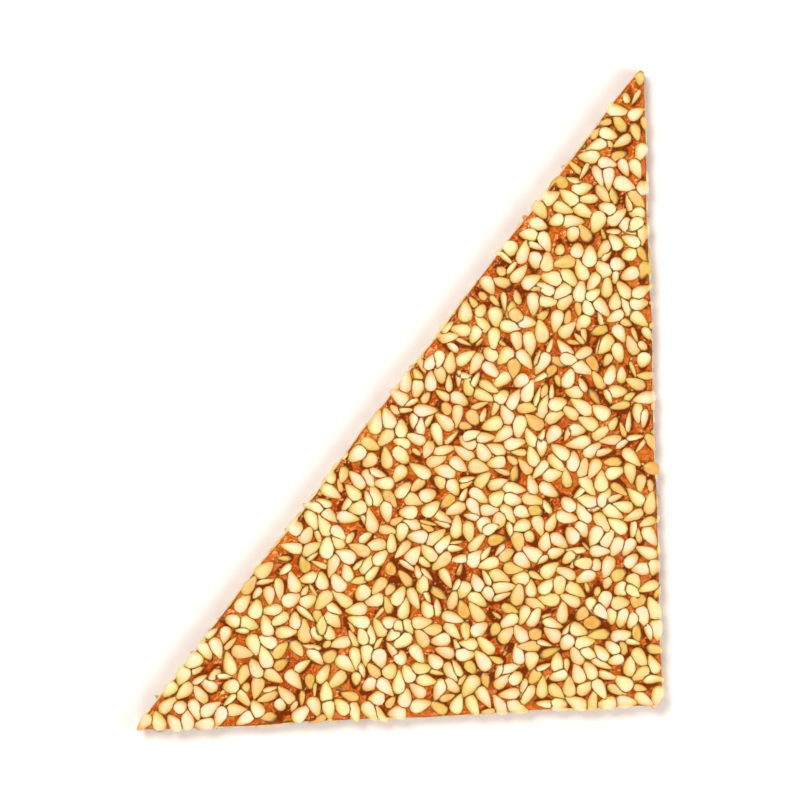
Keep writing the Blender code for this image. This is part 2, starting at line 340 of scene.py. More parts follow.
def packed_seeds(draw_number):
    """Seeds of one face as rows of x, y, turn, length, width and how narrow it looks."""
    draw = np.random.default_rng(draw_number)
    count = SEEDS_ON_A_FACE
    places = first_places(draw, count + BARE_SPOTS)
    spots = places[count:]
    places = places[:count]
    spot_radius = draw.uniform(*BARE_RADIUS, BARE_SPOTS)
    length = SEED_LENGTH * np.clip(draw.normal(1, LENGTH_SPREAD, count), *LENGTH_LIMITS)
    full = SEED_WIDTH * np.clip(draw.normal(1, WIDTH_SPREAD, count), *WIDTH_LIMITS)
    thin = draw.random(count) < THIN_SHARE
    share = np.where(thin, draw.uniform(*THIN_WIDTH, count), 1)
    turn = draw.uniform(0, 2 * math.pi, count)

    offsets, radii = circle_sizes(length, full * share)
    for number in range(PACKING_ROUNDS):
        if number % PAIRING_ROUNDS == 0:
            apart = np.hypot(*(places[:, None] - places[None]).transpose(2, 0, 1))
            one, other = np.nonzero(np.triu(apart < REACH, 1))
        arms = np.stack((np.cos(turn), np.sin(turn)), axis=1)[:, None] * offsets[..., None]
        circles = places[:, None] + arms
        push = np.zeros_like(circles)
        gaps = circles[one][:, :, None] - circles[other][:, None]
        reaches = radii[one][:, :, None] + radii[other][:, None]
        between = pushes_apart(gaps, reaches) / 2
        np.add.at(push, one, between.sum(axis=2))
        np.add.at(push, other, -between.sum(axis=1))
        gaps = circles[:, :, None] - spots
        push += BARE_PUSH * pushes_apart(gaps, radii[..., None] + spot_radius).sum(axis=2)
        shift, twist = moved(push, circles, radii, arms, length, PACKING_STEP)
        places = places + shift
        turn = turn + twist
    return np.column_stack((places, turn, length, full, share))


def seed_circles(seeds):
    """The three circles that stand for each seed's outline: their middles and their radii."""
    x, y, turn, length, width, share = seeds.T
    offsets, radii = circle_sizes(length, width * share)
    arms = np.stack((np.cos(turn), np.sin(turn)), axis=1)[:, None] * offsets[..., None]
    return np.stack((x, y), axis=1)[:, None] + arms, radii


def gaps_from(points, seeds):
    """How far each point lies from the nearest seed's outline; negative under a seed."""
    middles, radii = seed_circles(seeds)
    middles = middles.reshape(-1, 2)
    radii = radii.ravel()
    gaps = np.empty(len(points))
    for start in range(0, len(points), BLOCK):
        block = points[start : start + BLOCK]
        apart = np.hypot(*np.moveaxis(block[:, None] - middles, -1, 0))
        gaps[start : start + BLOCK] = (apart - radii).min(axis=1)
    return gaps


def settled(fillers, laid):
    """Pushes fillers off the seeds that lie already, and narrows those that stay pinched."""
    fillers = fillers.copy()
    for _ in range(SETTLING_ROUNDS):
        every = np.vstack((laid, fillers))
        apart = np.hypot(*(fillers[:, None, :2] - every[None, :, :2]).transpose(2, 0, 1))
        one, other = np.nonzero((apart < REACH) & (apart > 0))
        circles, radii = seed_circles(fillers)
        every_circle, every_radius = seed_circles(every)
        gaps = circles[one][:, :, None] - every_circle[other][:, None]
        reaches = radii[one][:, :, None] + every_radius[other][:, None]
        between = pushes_apart(gaps, reaches)
        push = np.zeros_like(circles)
        np.add.at(push, one, between.sum(axis=2))
        arms = circles - fillers[:, None, :2]
        shift, twist = moved(push, circles, radii, arms, fillers[:, 3], SETTLING_STEP)
        fillers[:, :2] += shift
        fillers[:, 2] += twist
    pinch = np.zeros(len(fillers))
    np.maximum.at(pinch, one, np.linalg.norm(between, axis=-1).max(axis=(1, 2)))
    narrowed = fillers[:, 4] - PINCH_NARROWS * pinch
    fillers[:, 4] = np.maximum(narrowed, PINCHED_WIDTH * SEED_WIDTH)
    # Neither end sticks out past the cut.
    half = np.stack((np.cos(fillers[:, 2]), np.sin(fillers[:, 2])), axis=1) * fillers[:, 3:4] / 2
    for first, _, out in cut_sides():
        beyond = (fillers[:, :2] - first) @ out + np.abs(half @ out) - OVERHANG
        fillers[:, :2] -= np.maximum(beyond, 0)[:, None] * out
    return fillers[pinch < PINCHED_OUT]


def filler_seeds(seeds, draw_number):
    """Seeds for the widest gaps of a face, each turned to the way that fits best."""
    draw = np.random.default_rng(draw_number + FILLER_DRAW)
    fillers = np.empty((0, 6))
    for count, long, wide, spacing in FILLER_ROUNDS:
        places = inset_places(draw, FILLER_TRIES, FILLER_INSET)
        length = SEED_LENGTH * draw.uniform(*long, len(places))
        width = SEED_WIDTH * draw.uniform(*wide, len(places))
        laid = np.vstack((seeds, fillers))
        best = np.full(len(places), -1.0)
        rows = np.zeros((len(places), 6))
        for turn in np.arange(FILLER_TURNS) * 2 * math.pi / FILLER_TURNS:
            turns = np.full(len(places), turn)
            tried = np.column_stack((places, turns, length, width, np.ones(len(places))))
            middles, radii = seed_circles(tried)
            room = gaps_from(middles.reshape(-1, 2), laid).reshape(radii.shape)
            for first, _, out in cut_sides():
                room = np.minimum(room, OVERHANG - (middles - first) @ out)
            fit = (room - radii).mean(axis=1)
            better = fit > best
            best[better] = fit[better]
            rows[better] = tried[better]
        taken = np.empty((0, 6))
        for row in rows[np.argsort(-best)]:
            if len(taken) == count:
                break
            if not len(taken) or np.hypot(*(taken[:, :2] - row[:2]).T).min() > spacing:
                taken = np.vstack((taken, row))
        fillers = np.vstack((fillers, settled(taken, laid)))
    return fillers


def slow_relief(x, y, face):
    """How much higher the caramel lies than its mean level; face tells the two faces apart."""
    point = Vector((x / SLOW_RELIEF_LONG, y / SLOW_RELIEF_LONG, SLOW_NOISE * face))
    return SLOW_RELIEF * noise.noise(point)


def out_of_caramel(points, level):
    """How far each point of a seed lies outside the caramel, whose top is at the given level."""
    far = np.maximum(points[:, 2] - level, CARAMEL_LOW - points[:, 2])
    for side, (first, last, outward) in enumerate(cut_sides()):
        along = (last - first) / np.linalg.norm(last - first)
        reach = (points[:, :2] - first) @ along
        beyond = (points[:, :2] - first) @ outward - cut_wander(reach, side)
        far = np.maximum(far, SIDE_STAIN_AND_SHADE_LIFT + SIDE_STAIN_AND_SHADE_SCALE * beyond)
    return far


# --- The seed, modelled once in each form ---
def select_points(piece, wanted):
    """In edit mode, selects only the points whose places wanted says yes to."""
    shape = bmesh.from_edit_mesh(piece.data)
    for point in shape.verts:
        point.select_set(False)
    for point in shape.verts:
        if wanted(point.co):
            point.select_set(True)
    shape.select_flush(True)
    bmesh.update_edit_mesh(piece.data)


def seed_girth(taper, place):
    """How wide a seed is against a ball, at a place from -1, its blunt end, to 1, its tip."""
    along = np.linspace(-0.9, 0.9, 91)
    widest = ((1 - np.multiply.outer(taper, along)) * np.sqrt(1 - along**2)).max(axis=-1)
    return (1 - taper * place) / widest


def seed_bend(bend, place):
    """How far a seed is bent sideways there."""
    return bend * (place * place - BEND_MIDDLE)


def model_seed(taper, bend):
    """One seed of half length, half width and half thickness 1, with its tip along +X.

    A ball's rings are drawn in towards the tip and out towards the blunt end, and shifted into
    a slight bend. The part that the caramel always hides is cut off level.
    """
    deselect()
    bpy.ops.mesh.primitive_uv_sphere_add(
        segments=SEED_SEGMENTS, ring_count=SEED_RINGS, rotation=(0, math.pi / 2, 0)
    )
    seed = bpy.context.object
    bpy.ops.object.transform_apply(location=False, rotation=True, scale=False)
    bpy.ops.object.mode_set(mode="EDIT")
    for number in range(SEED_RINGS + 1):
        place = math.cos(math.pi * number / SEED_RINGS)
        widen = seed_girth(taper, place)
        select_points(seed, lambda point: abs(point.x - place) < RING_GAP)
        bpy.ops.transform.resize(value=(1, widen, widen), center_override=(place, 0, 0))
        bpy.ops.transform.translate(value=(0, seed_bend(bend, place), 0))
    bpy.ops.mesh.select_all(action="SELECT")
    bpy.ops.mesh.bisect(
        plane_co=(0, 0, SEED_CUT), plane_no=(0, 0, -1), use_fill=True, clear_outer=True
    )
    bpy.ops.mesh.select_all(action="SELECT")
    bpy.ops.mesh.normals_make_consistent(inside=False)
    bpy.ops.object.mode_set(mode="OBJECT")
    shape = np.array([vertex.co for vertex in seed.data.vertices])
    faces = [tuple(face.vertices) for face in seed.data.polygons]
    bpy.data.objects.remove(seed)
    return shape, faces


def seed_turn(pitch, roll, turn):
    """A seed's frame when it is rolled about its length, tipped along it and then turned."""
    return (
        Matrix.Rotation(turn, 3, "Z")
        @ Matrix.Rotation(pitch, 3, "Y")
        @ Matrix.Rotation(roll, 3, "X")
    )


def half_height(size, turned):
    """How far a turned seed reaches up from its middle."""
    up = np.array(turned)[2]
    return math.sqrt(sum((up[axis] * size[axis]) ** 2 for axis in range(3)))


class SeedPile:
    """Collects placed seeds, and joins them into one mesh with what their finish needs."""

    def __init__(self, forms):
        self.forms = forms
        self.points = []
        self.faces = []
        self.values = {"tone": [], "along": [], "lift": []}
        self.placed = []
        self.count = 0

    def add(self, form, turned, origin, size, tone, level=CARAMEL_TOP):
        """Adds one seed; level is the height of the caramel's top face there."""
        shape, faces = self.forms[form]
        placed = (shape * size) @ np.array(turned).T + origin
        self.points.append(placed)
        for face in faces:
            self.faces.append(tuple(corner + self.count for corner in face))
        self.count += len(shape)
        self.values["tone"].extend([tone] * len(shape))
        self.values["along"].extend(shape[:, 0] * 0.5 + 0.5)
        self.values["lift"].extend(out_of_caramel(placed, level))
        self.placed.append((*origin, *size, *np.ravel(turned), *SEED_FORMS[form]))

    def crowding(self):
        """How far each point of each seed stands off the nearest other seed."""
        placed = np.array(self.placed)
        origins, sizes, frames, forms = np.split(placed, (3, 6, 15), axis=1)
        frames = frames.reshape(-1, 3, 3)
        gaps = []
        for number, points in enumerate(self.points):
            apart = np.linalg.norm(origins - origins[number], axis=1)
            near = (apart < REACH) & (apart > 0)
            away = points - origins[near][:, None]
            x, y, z = np.moveaxis(away @ frames[near] / sizes[near][:, None], -1, 0)
            taper, bend = forms[near].T[..., None]
            place = np.clip(x, -1, 1)
            y = (y - seed_bend(bend, place)) / seed_girth(taper, place)
            z = z / seed_girth(taper, place)
            reach = np.sqrt(x**2 + y**2 + z**2) + TINY_REACH
            gap = np.linalg.norm(away, axis=-1) * (1 - 1 / reach)
            gaps.append(gap.min(axis=0, initial=UNCROWDED))
        return np.concatenate(gaps)

    def join(self, name, shift):
        """Makes the piece, moved back by the shift, with no point below the floor."""
        points = np.concatenate(self.points) - np.array((*shift, 0))
        points[:, 2] = np.maximum(points[:, 2], 0)
        mesh = bpy.data.meshes.new(name)
        mesh.from_pydata(points.tolist(), [], self.faces)
        finish_mesh(mesh, {**self.values, "crowd": self.crowding()})
        return new_object(name, mesh)


# --- The seeds in the two faces ---
def place_seed(pile, x, y, turn, size, pitch, roll, proud, tone, face, draw):
    """Sinks one seed in a face so that its crown stands proud by the given height."""
    turned = seed_turn(pitch, roll, turn)
    lift = proud - half_height(size, turned)
    if face == 0:
        level = CARAMEL_TOP + slow_relief(x, y, face)
        z = level + lift
    else:
        turned = Matrix.Rotation(math.pi, 3, "X") @ seed_turn(pitch, roll, -turn)
        level = CARAMEL_TOP
        z = CARAMEL_LOW - lift
    form = int(draw.integers(len(SEED_FORMS)))
    pile.add(form, turned, np.array((x, y, z)), size, tone, level)


def lay_packed(pile, seeds, draw, face):
    """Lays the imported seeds: flat, or rolled onto their edge where they look narrow."""
    for x, y, turn, length, width, share in seeds:
        size = np.array((length, width, SEED_THICKNESS * draw.uniform(*SEED_THICK))) / 2
        if share < 1:
            ratio = size[2] / size[1]
            narrowest, widest = SEEN_WIDTH
            seen = min(max(share * SEEN_SCALE, narrowest), widest)
            lean = math.sqrt(max(seen**2 - ratio**2, 0) / (1 - ratio**2))
            roll = math.acos(lean) * draw.choice((-1, 1))
        else:
            roll = draw.normal(0, SEED_ROLL)
        size[:2] *= SEED_PLUMP
        pitch = draw.normal(0, SEED_PITCH)
        proud = draw.normal(SEED_PROUD, SEED_PROUD_SPREAD)
        tone = draw.beta(*SEED_TONES)
        if draw.random() < SUNK_SHARE:
            proud = draw.uniform(*SUNK_PROUD)
            tone = draw.uniform(*SUNK_TONE)
        place_seed(pile, x, y, turn, size, pitch, roll, proud, tone, face, draw)


def lay_fillers(pile, fillers, draw, face):
    """Lays the seeds pressed into the gaps, a little deeper and more tipped."""
    for x, y, turn, length, width, _ in fillers:
        size = np.array((length, width, SEED_THICKNESS)) / 2
        pitch = draw.normal(0, FILLER_PITCH)
        roll = draw.normal(0, FILLER_ROLL)
        proud = draw.uniform(*FILLER_PROUD)
        tone = draw.beta(*FILLER_TONES)
        place_seed(pile, x, y, turn, size, pitch, roll, proud, tone, face, draw)


def lay_chips(pile, laid, draw, face):
    """Lays broken bits where the laid seeds leave caramel open."""
    places = inset_places(draw, CHIPS * CHIP_TRIES, CHIP_INSET)
    gaps = gaps_from(places, laid)
    for place in places[gaps > CHIP_GAP][:CHIPS]:
        size = np.array((SEED_LENGTH, SEED_WIDTH, SEED_THICKNESS)) / 2
        size *= draw.uniform(*CHIP_SIZE, 3)
        turn, tilt = draw.uniform(0, 2 * math.pi), draw.normal(0, CHIP_TILT)
        proud = draw.uniform(*CHIP_PROUD)
        tone = draw.beta(*CHIP_TONES)
        place_seed(pile, *place, turn, size, tilt, tilt, proud, tone, face, draw)


def lay_riders(pile, seeds, draw, face, riders):
    """Lays a number of riders, each near the outline of a packed seed."""
    places = inset_places(draw, riders * RIDER_TRIES, RIDER_INSET)
    gaps = gaps_from(places, seeds)
    least, most = RIDER_GAP
    taken = np.empty((0, 2))
    for place in places[(gaps > least) & (gaps < most)]:
        if len(taken) and np.hypot(*(taken - place).T).min() < RIDERS_APART:
            continue
        if len(taken) == riders:
            break
        taken = np.vstack((taken, place))
    for place in taken:
        size = np.array((SEED_LENGTH, SEED_WIDTH, RIDER_THICKNESS)) / 2
        size[:2] *= draw.uniform(*RIDER_SIZE)
        pitch = draw.normal(0, RIDER_PITCH)
        roll = draw.normal(0, RIDER_ROLL)
        turn = draw.uniform(0, 2 * math.pi)
        tone = draw.beta(*RIDER_TONES)
        place_seed(pile, *place, turn, size, pitch, roll, RIDER_PROUD, tone, face, draw)


# --- The seeds in the cut sides ---
def side_seed_places():
    """The solid's own seeds in the middle of each stretch of the cut sides, a list for each."""
    draw = np.random.default_rng(SIDE_DRAW)
    middle_height = (CARAMEL_LOW + CARAMEL_HIGH) / 2
    places = []
    for points, (_, _, outward) in zip(cut_points(), cut_sides()):
        places.append([])
        for first, last in zip(points[:-1], points[1:]):
            along = Vector((*(last - first), 0)).normalized()
            out = Vector((along.y, -along.x, 0))
            if np.dot(out[:2], outward) < 0:
                out.negate()
            height = middle_height + SIDE_SEED_ZONE * draw.uniform(-1, 1)
            length = SEED_LENGTH * draw.uniform(*SIDE_SEED_LONG)
            width = SEED_WIDTH * draw.uniform(*SIDE_SEED_WIDE)
            turn = SIDE_SEED_SLANT * draw.uniform(-1, 1) + math.pi * draw.integers(2)
            proud = SIDE_SEED_HEIGHT * draw.uniform(*SIDE_SEED_STAND)
            places[-1].append(
                ((first + last) / 2, along, out, height, length, width, turn, proud)
            )
    return places


def cut_seed_places(own, draw):
    """Seeds that the knife cut across, in the room that the solid's own ones leave."""
    places = []
    for side, (first, last, outward) in enumerate(cut_sides()):
        length = np.linalg.norm(last - first)
        along = (last - first) / length
        run = Vector((*along, 0))
        out = Vector((*outward, 0))
        upward = out.cross(run).z
        rows = np.array(
            [
                ((middle - first) @ along, height, upward * turn, seed_length, seed_width, 1.0)
                for middle, _, _, height, seed_length, seed_width, turn, _ in own[side]
            ]
        )
        for band, (apart, long, wide, slant, stand) in enumerate(CUT_SEED_BANDS):
            for _ in range(int(length / apart)):
                reach = draw.uniform(CUT_SEED_INSET, length - CUT_SEED_INSET)
                seed_length = SEED_LENGTH * draw.uniform(*long)
                seed_width = SEED_WIDTH * draw.uniform(*wide)
                turn = draw.normal(0, slant) + math.pi * draw.integers(2)
                proud = draw.uniform(*stand)
                sunk = seed_width / 2 + draw.uniform(*CUT_SEED_SUNK)
                between = draw.uniform(CARAMEL_LOW + CUT_SEED_RIM, CARAMEL_TOP - CUT_SEED_RIM)
                z = (CARAMEL_TOP - sunk, CARAMEL_LOW - CUT_SEED_DROP + sunk, between)[band]
                row = np.array((reach, z, upward * turn, seed_length, seed_width, 1.0))
                middles, radii = seed_circles(row[None])
                if (gaps_from(middles[0], rows) - radii[0]).min() < CUT_SEED_GAP:
                    continue
                rows = np.vstack((rows, row))
                middle = first + along * reach + outward * cut_wander(reach, side)
                places.append((middle, run, out, z, seed_length, seed_width, turn, proud))
    return places


def lay_side_seeds(pile):
    """Lays the seeds in the cut sides, each flat against the cut: the solid's, then the others."""
    draw = np.random.default_rng(CUT_SEED_DRAW)
    own = side_seed_places()
    places = sum(own, []) + cut_seed_places(own, draw)
    for middle, along, out, z, length, width, turn, proud in places:
        size = np.array((length, width, SEED_THICKNESS * draw.uniform(*SIDE_SEED_THICK))) / 2
        upright = Matrix((along, out.cross(along), out)).transposed()
        turned = upright @ Matrix.Rotation(turn, 3, "Z")
        origin = np.array((*middle, z)) + np.array(out) * (proud - size[2])
        form = int(draw.integers(len(SEED_FORMS)))
        pile.add(form, turned, origin, size, draw.beta(*SIDE_SEED_TONES))


# --- The caramel ---
def slab_cuts():
    """The slab's cuts, each as a place and an outward direction: three sides, three corners."""
    cuts = [(first, outward) for first, _, outward in cut_sides()]
    points = cut_points()
    for index in range(len(points)):
        first, last = points[index - 1][-1], points[index][0]
        cuts.append(((first + last) / 2, outward_from(first, last)))
    return cuts


def model_caramel(top, underside, shift):
    """The slab: a fine grid cut by the knife cuts, drawn down, and given its relief."""
    deselect()
    low = np.min(CORNERS, axis=0) - CELL
    high = np.max(CORNERS, axis=0) + CELL
    span = high - low
    cells = [int(round(size / CELL)) for size in span]
    bpy.ops.mesh.primitive_grid_add(
        x_subdivisions=cells[0],
        y_subdivisions=cells[1],
        size=1,
        location=(*((low + high) / 2), CARAMEL_TOP),
    )
    slab = bpy.context.object
    slab.name = "caramel_slab"
    slab.data.name = "caramel_slab"
    slab.scale = (*span, 1)
    bpy.ops.object.transform_apply(location=True, rotation=False, scale=True)
    bpy.ops.object.mode_set(mode="EDIT")
    for place, outward in slab_cuts():
        bpy.ops.mesh.select_all(action="SELECT")
        bpy.ops.mesh.bisect(plane_co=(*place, 0), plane_no=(*outward, 0), clear_outer=True)
    bpy.ops.mesh.select_all(action="SELECT")
    bpy.ops.mesh.remove_doubles(threshold=WELD)
    bpy.ops.mesh.select_all(action="SELECT")
    bpy.ops.mesh.extrude_region_move(
        TRANSFORM_OT_translate={"value": (0, 0, CARAMEL_LOW - CARAMEL_TOP)}
    )
    # The upright edges of the cut sides are divided into rows.
    bpy.ops.mesh.select_mode(type="EDGE")
    bpy.ops.mesh.select_all(action="DESELECT")
    middle = (CARAMEL_LOW + CARAMEL_TOP) / 2
    shape = bmesh.from_edit_mesh(slab.data)
    for edge in shape.edges:
        one, other = edge.verts
        if (one.co.z - middle) * (other.co.z - middle) < 0:
            edge.select_set(True)
    bmesh.update_edit_mesh(slab.data)
    bpy.ops.mesh.subdivide(number_cuts=SIDE_ROWS - 1)
    bpy.ops.mesh.select_mode(type="VERT")
    bpy.ops.mesh.select_all(action="SELECT")
    bpy.ops.mesh.normals_make_consistent(inside=False)
    bpy.ops.object.mode_set(mode="OBJECT")
    shape_caramel(slab.data, top, underside)
    slab.data.transform(Matrix.Translation((-shift[0], -shift[1], 0)))
    return slab


def cut_side_points(points):
    """Tells which of the slab's points lie in its upright sides, and draws them onto the cuts."""
    off_top = abs(points[:, 2] - CARAMEL_TOP)
    off_underside = abs(points[:, 2] - CARAMEL_LOW)
    between = np.minimum(off_top, off_underside) >= LEVEL_GAP
    columns = {tuple(place) for place in np.round(points[between, :2], PLACE_DIGITS)}
    wall = np.array([tuple(place) in columns for place in np.round(points[:, :2], PLACE_DIGITS)])
    for first, _, outward in cut_sides():
        inside = -((points[:, :2] - first) @ outward)
        stray = wall & (inside < STRAY)
        points[stray, :2] += inside[stray, None] * outward
    return wall


def wave_sides(points, flat, wall):
    """Makes the cut sides wander and ripple; tells each point's depth behind them and painted
    glow.
    """
    depth = np.full(len(points), 1.0)
    glow = np.zeros(len(points))
    for side, (first, last, outward) in enumerate(cut_sides()):
        along = (last - first) / np.linalg.norm(last - first)
        reach = (flat[:, :2] - first) @ along
        inside = -((flat[:, :2] - first) @ outward)
        fade = np.clip(1 - inside / WANDER_FADE, 0, 1) ** 2
        points[:, :2] += (cut_wander(reach, side) * fade)[:, None] * outward
        depth = np.minimum(depth, inside)
        glow += GLOW_OF_A_SIDE * np.exp(-np.maximum(inside, 0) / GLOW_LONG)
        on_side = wall & (inside < ON_A_CUT)
        places = zip(reach[on_side] / SIDE_RIPPLE_LONG, flat[on_side, 2] / SIDE_RIPPLE_HIGH)
        ripple = np.array([noise.noise(Vector((x, z, RIPPLE_NOISE + side))) for x, z in places])
        points[on_side, :2] += (ripple * SIDE_RIPPLE)[:, None] * outward
    return depth, glow


def face_rise(places, depth, gaps, face):
    """How far a face's points rise above its level, by menisci, relief and the round rim."""
    climb = MENISCUS * np.exp(-np.maximum(gaps, 0) / MENISCUS_LONG)
    slow = np.array([slow_relief(x, y, face) for x, y in places])
    fine = np.array(
        [
            noise.noise(Vector((x / FINE_RELIEF_LONG, y / FINE_RELIEF_LONG, FINE_NOISE + face)))
            for x, y in places
        ]
    )
    rim = np.clip(1 - depth / RIM_RADIUS, 0, 1)
    drop = RIM_RADIUS * (1 - np.sqrt(1 - rim**2)) * RIM_DROP
    return climb - MENISCUS_FOOT + (slow if face == 0 else 0) + FINE_RELIEF * fine - drop


def shape_caramel(mesh, top, underside):
    """Waves the slab's sides, raises its faces, and keeps what its finish needs."""
    points = np.empty(len(mesh.vertices) * 3)
    mesh.vertices.foreach_get("co", points)
    points = points.reshape(-1, 3)
    wall = cut_side_points(points)
    flat = points.copy()
    depth, glow = wave_sides(points, flat, wall)
    bare = np.full(len(points), SIDE_BARE)
    for face, (seeds, level, upward) in enumerate(
        ((top, CARAMEL_TOP, 1), (underside, CARAMEL_LOW, -1))
    ):
        on_face = np.abs(flat[:, 2] - level) < LEVEL_GAP
        places = flat[on_face, :2]
        gaps = gaps_from(places, seeds)
        points[on_face, 2] += upward * face_rise(places, depth[on_face], gaps, face)
        bare[on_face] = gaps
    mesh.vertices.foreach_set("co", points.ravel())
    mesh.update()
    finish_mesh(mesh, {"bare": bare / MM, "glow": glow, "cut": wall})


# --- Finishes ---
# Sockets and settings of a Mix node that mixes colours, and a MapRange node's setting for a
# soft start and end
SHARE, FROM, TO = 0, 6, 7
COLOURS = {"data_type": "RGBA"}
SMOOTH = {"interpolation_type": "SMOOTHSTEP"}


def linear(colour):
    """An sRGB hex colour as linear red, green, blue and alpha."""
    channels = [int(colour[start : start + 2], 16) / 255 for start in (1, 3, 5)]
    curve = [c / 12.92 if c <= 0.04045 else ((c + 0.055) / 1.055) ** 2.4 for c in channels]
    return (*curve, 1.0)


def fill(node, sockets):
    """Gives a node's inputs their values or links.

    A node in place of a value is linked by the first of its outputs that is in use.
    """
    for name, value in sockets.items():
        if isinstance(value, bpy.types.Node):
            value = next(output for output in value.outputs if output.enabled)
        if isinstance(value, bpy.types.NodeSocket):
            node.id_data.links.new(value, node.inputs[name])
        else:
            node.inputs[name].default_value = value


def add(tree, kind, sockets=None, **settings):
    """Adds a node: settings are its properties, sockets its inputs' values or links."""
    node = tree.nodes.new("ShaderNode" + kind)
    for name, value in settings.items():
        setattr(node, name, value)
    fill(node, sockets or {})
    return node


def new_material(name):
    """A new material, its node tree and its shader."""
    material = bpy.data.materials.new(name)
    material.use_nodes = True
    tree = material.node_tree
    tree.nodes.clear()
    shader = add(tree, "BsdfPrincipled")
    add(tree, "OutputMaterial", {"Surface": shader})
    return material, tree, shader


def boiled_caramel():
    """Sugar boiled to an amber glass and poured: deep orange-red, clear and very glossy."""
    material, tree, shader = new_material("boiled_caramel_poured")
    place = add(tree, "TexCoord").outputs["Object"]
    cut, bare, glow = (
        add(tree, "Attribute", attribute_name=name).outputs["Fac"]
        for name in ("cut", "bare", "glow")
    )
    cloud = add(tree, "TexNoise", {"Vector": place, "Scale": 1 / (2.8 * MM), "Detail": 2.0})
    clouded = add(tree, "MapRange", {"Value": cloud, "From Min": 0.3, "From Max": 0.7})
    # In a cut side the eye looks into clear caramel, which is redder than the poured skin.
    skin, inside = (
        add(tree, "Mix", {SHARE: clouded, FROM: linear(dark), TO: linear(light)}, **COLOURS)
        for dark, light in (("#a83604", "#c86612"), ("#a22c04", "#cc5208"))
    )
    body = add(tree, "Mix", {SHARE: cut, FROM: skin, TO: inside}, **COLOURS)
    # Between the seeds it lies thick and looks brown; the darker brown there is partly painted
    # shade of the seeds.
    open_share = add(
        tree, "MapRange", {"Value": bare, "From Min": -0.08, "From Max": 0.18}, **SMOOTH
    )
    shaded = add(tree, "Mix", {SHARE: open_share, FROM: linear("#742a04"), TO: body}, **COLOURS)
    # Painted glow: near the cut sides, and most at a corner where two meet, the caramel is
    # coloured brighter amber, as if light came in through them.
    glowing = add(tree, "MapRange", {"Value": glow, "From Min": 0.35, "To Max": 0.7}, **SMOOTH)
    lit = add(tree, "Mix", {SHARE: glowing, FROM: shaded, TO: linear("#de7410")}, **COLOURS)
    # Painted highlights: thin squiggly lines in the open caramel skin, along the middle of a
    # noise, are coloured pale salmon, as if wrinkle crests caught the light.
    highlight_lines_noise = add(
        tree,
        "TexNoise",
        {"Vector": place, "Scale": 1 / (1.7 * MM), "Detail": 1.0, "Distortion": 1.5},
    )
    off_highlight_line = add(tree, "Math", {0: highlight_lines_noise, 1: 0.5}, operation="SUBTRACT")
    beside = add(tree, "Math", {0: off_highlight_line}, operation="ABSOLUTE")
    highlight_line = add(
        tree,
        "MapRange",
        {"Value": beside, "From Min": 0.01, "From Max": 0.07, "To Min": 1.0, "To Max": 0.0},
        **SMOOTH,
    )
    poured = add(tree, "MapRange", {"Value": cut, "To Min": 0.6, "To Max": 0.0})
    open_highlight_line = add(tree, "Math", {0: highlight_line, 1: open_share}, operation="MULTIPLY")
    painted_highlight_share = add(tree, "Math", {0: open_highlight_line, 1: poured}, operation="MULTIPLY")
    painted_highlights = add(tree, "Mix", {SHARE: painted_highlight_share, FROM: lit, TO: linear("#de884a")}, **COLOURS)
    ripple = add(tree, "TexNoise", {"Vector": place, "Scale": 1 / (0.85 * MM), "Detail": 1.0})
    bump = add(tree, "Bump", {"Height": ripple, "Strength": 1.0, "Distance": 0.22 * MM})
    looks = {
        "Base Color": painted_highlights,
        "Normal": bump,
        "Roughness": 0.21,
        "IOR": 1.49,
        "Specular Tint": linear("#ffca88"),
        "Subsurface Weight": 0.3,
        "Subsurface Radius": (3.0, 0.9, 0.2),
        "Subsurface Scale": 1 * MM,
    }
    fill(shader, looks)
    return material


